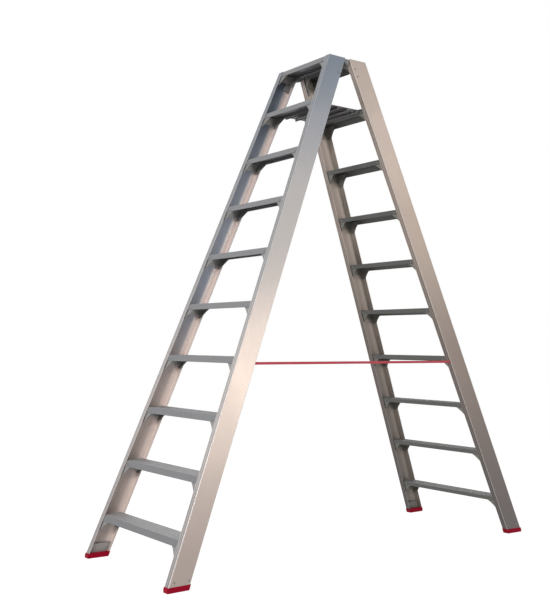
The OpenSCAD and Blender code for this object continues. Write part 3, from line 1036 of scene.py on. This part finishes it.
class LADDER_OT_band(Operator):
    """Weave the band that stops the sections opening"""

    bl_idname = "ladder.band"
    bl_label = "Band"

    def execute(self, context):
        sizes = context.scene.ladder_sizes
        webbing = woven_webbing("band_webbing", context.scene.ladder_finish)
        low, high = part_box("band")
        strip_x = high.x - sizes.band_thick / 2
        reach = high.y - sizes.band_thick
        self.strip(sizes, strip_x, reach, webbing)
        for section in SECTIONS:
            self.end(sizes, section, low, high, webbing)
        return {"FINISHED"}

    def strip(self, sizes, strip_x, reach, webbing):
        """The taut part, which rides on the rear section."""
        places = [Vector((strip_x, y, BAND_HEIGHT)) for y in (-reach, reach)]
        stations = [(place, Vector((0, 0, 1)), Vector((1, 0, 0))) for place in places]
        bar = swept(webbing_outline(sizes), stations)
        core = new_piece("band_core", mesh_data("band_core", bar))
        rib = new_piece("weft_rib", weft_rib(sizes))
        guide = bpy.data.meshes.new("band_strip")
        guide.from_pydata(places, [(0, 1)], [])
        values = {"Core": core, "Rib": rib, "Pitch": sizes.weft_pitch, "Material": webbing}
        strip = weighted(apply_tree(new_piece("band_strip", guide), weft_tree(), values))
        for template in (core, rib):
            bpy.data.objects.remove(template)
        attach(strip, "rear_section")
        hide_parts("band")
        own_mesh(strip)

    def end(self, sizes, section, low, high, webbing):
        """One of the band's ends, folded along the flange that it is riveted to."""
        away = 1 if section == "rear" else -1
        out = Vector((0, away * math.cos(LEAN), math.sin(LEAN)))
        up = Vector((0, -away * math.sin(LEAN), math.cos(LEAN)))
        middle_y = (high.y - sizes.band_width / 2 * math.sin(LEAN)) * away
        centre = Vector((0, middle_y, BAND_HEIGHT)) - out * (sizes.band_thick / 2)
        stations = [(centre + Vector((x, 0, 0)), up, out) for x in (low.x, high.x)]
        title = f"band_{section}_end"
        bar = swept(webbing_outline(sizes), stations)
        piece = weighted(new_piece(title, mesh_data(title, bar)))
        piece.data.materials.append(webbing)
        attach(piece, f"{section}_section")


# Stage


def light_path(tree):
    """1 for what the camera sees, straight or in a reflection, and 0 for light on the object."""
    path = node(tree, "ShaderNodeLightPath").outputs
    seen = path["Is Camera Ray"]
    for ray in ("Is Glossy Ray", "Is Transmission Ray"):
        seen = calculated(tree, "MAXIMUM", seen, path[ray])
    return seen


def white_world(strength):
    """A white background, and soft even light from it."""
    world = bpy.data.worlds.new("studio")
    world.use_nodes = True
    tree = world.node_tree
    tree.nodes.clear()
    light, white = (
        node(tree, "ShaderNodeBackground", {"Color": WHITE, "Strength": level}).outputs[0]
        for level in (strength, 1.0)
    )
    chosen = node(tree, "ShaderNodeMixShader", {0: light_path(tree), 1: light, 2: white})
    node(tree, "ShaderNodeOutputWorld", {0: chosen.outputs[0]})
    return world


def pale_floor(brightness):
    """A pale floor that meets the white background, and still takes a soft shadow."""
    material = bpy.data.materials.new("pale_floor")
    material.use_nodes = True
    tree = material.node_tree
    tree.nodes.clear()
    plain, shade = (
        node(tree, "ShaderNodeBsdfDiffuse", {"Color": tint(WHITE, level)}).outputs[0]
        for level in (FLOOR_BOUNCE, FLOOR_SHADE)
    )
    glow = node(tree, "ShaderNodeEmission", {"Color": WHITE, "Strength": brightness})
    lit = node(tree, "ShaderNodeAddShader", {0: shade, 1: glow.outputs[0]})
    inputs = {0: light_path(tree), 1: plain, 2: lit.outputs[0]}
    chosen = node(tree, "ShaderNodeMixShader", inputs)
    node(tree, "ShaderNodeOutputMaterial", {0: chosen.outputs[0]})
    return material


class LADDER_OT_stage(Operator):
    """Set the floor, the light and the camera"""

    bl_idname = "ladder.stage"
    bl_label = "Stage"

    # Soft boxes: name, place, point that it faces, width, height, watts, colour
    SOFT_BOXES = (
        ("side_box", (4.4, 2.65, 1.35), (0.3, -0.6, 0.95), 1.5, 1.1, 45.0, (1.0, 0.92, 0.85)),
        ("high_box", (4.2, 3.75, 3.6), (0.25, 0.3, 2.0), 1.8, 1.4, 30.0, (1.0, 0.91, 0.84)),
        ("front_box", (-3.2, -3.4, 2.6), (0.0, -0.6, 1.0), 2.0, 2.0, 14.0, (0.96, 0.98, 1.0)),
        ("key_box", (2.7, -5.2, 2.9), (0.0, -0.5, 1.3), 1.0, 1.0, 245.0, (1.0, 0.96, 0.94)),
    )

    def execute(self, context):
        scene = context.scene
        stage = scene.ladder_stage
        scene.view_settings.view_transform = "Standard"
        scene.world = white_world(stage.daylight)
        self.lay_floor(stage)
        for box in self.SOFT_BOXES:
            self.hang(*box)
        self.set_camera(scene, stage)
        return {"FINISHED"}

    def lay_floor(self, stage):
        """A square floor just below the soles."""
        half = stage.floor_size / 2
        data = bpy.data.meshes.new("floor")
        corners = [(-half, -half), (half, -half), (half, half), (-half, half)]
        data.from_pydata([(x, y, -stage.floor_drop) for x, y in corners], [], [(0, 1, 2, 3)])
        data.materials.append(pale_floor(stage.floor_glow))
        new_piece("floor", data)

    def hang(self, name, place, target, width, height, power, shade):
        """One soft box, turned to the point that it faces."""
        lamp = bpy.data.lights.new(name, "AREA")
        lamp.shape = "RECTANGLE"
        lamp.size = width
        lamp.size_y = height
        lamp.energy = power
        lamp.color = shade
        hung = bpy.data.objects.new(name, lamp)
        hung.location = place
        hung.rotation_euler = (Vector(target) - Vector(place)).to_track_quat("-Z", "Y").to_euler()
        bpy.context.scene.collection.objects.link(hung)

    def set_camera(self, scene, stage):
        """A camera from its place, turns and lens."""
        lens = bpy.data.cameras.new("camera")
        lens.lens = stage.lens
        camera = bpy.data.objects.new("camera", lens)
        scene.collection.objects.link(camera)
        camera.matrix_world = (
            Matrix.Translation(stage.camera_place)
            @ Matrix.Rotation(stage.camera_yaw, 4, "Z")
            @ Matrix.Rotation(math.pi / 2 + stage.camera_pitch, 4, "X")
            @ Matrix.Rotation(stage.camera_roll, 4, "Z")
        )
        scene.camera = camera


PIECES = (
    LADDER_OT_stiles, LADDER_OT_treads, LADDER_OT_braces, LADDER_OT_feet, LADDER_OT_hinges,
    LADDER_OT_platform, LADDER_OT_rivets, LADDER_OT_band, LADDER_OT_stage,
)


class LADDER_PT_panel(Panel):
    """Lists the ladder's pieces in the order in which they are made"""

    bl_label = "Trestle ladder"
    bl_idname = "LADDER_PT_panel"
    bl_space_type = "VIEW_3D"
    bl_region_type = "UI"
    bl_category = "Ladder"

    def draw(self, context):
        for piece in PIECES:
            self.layout.operator(piece.bl_idname)


GROUPS = {"ladder_sizes": LadderSizes, "ladder_finish": LadderFinish, "ladder_stage": LadderStage}


def register():
    for group in GROUPS.values():
        bpy.utils.register_class(group)
    for key, group in GROUPS.items():
        setattr(bpy.types.Scene, key, PointerProperty(type=group))
    for piece in (*PIECES, LADDER_PT_panel):
        bpy.utils.register_class(piece)


def unregister():
    for piece in (LADDER_PT_panel, *reversed(PIECES)):
        bpy.utils.unregister_class(piece)
    for key, group in GROUPS.items():
        delattr(bpy.types.Scene, key)
        bpy.utils.unregister_class(group)


def main():
    register()
    for piece in PIECES:
        category, action = piece.bl_idname.split(".")
        getattr(getattr(bpy.ops, category), action)()


if __name__ == "__main__":
    main()
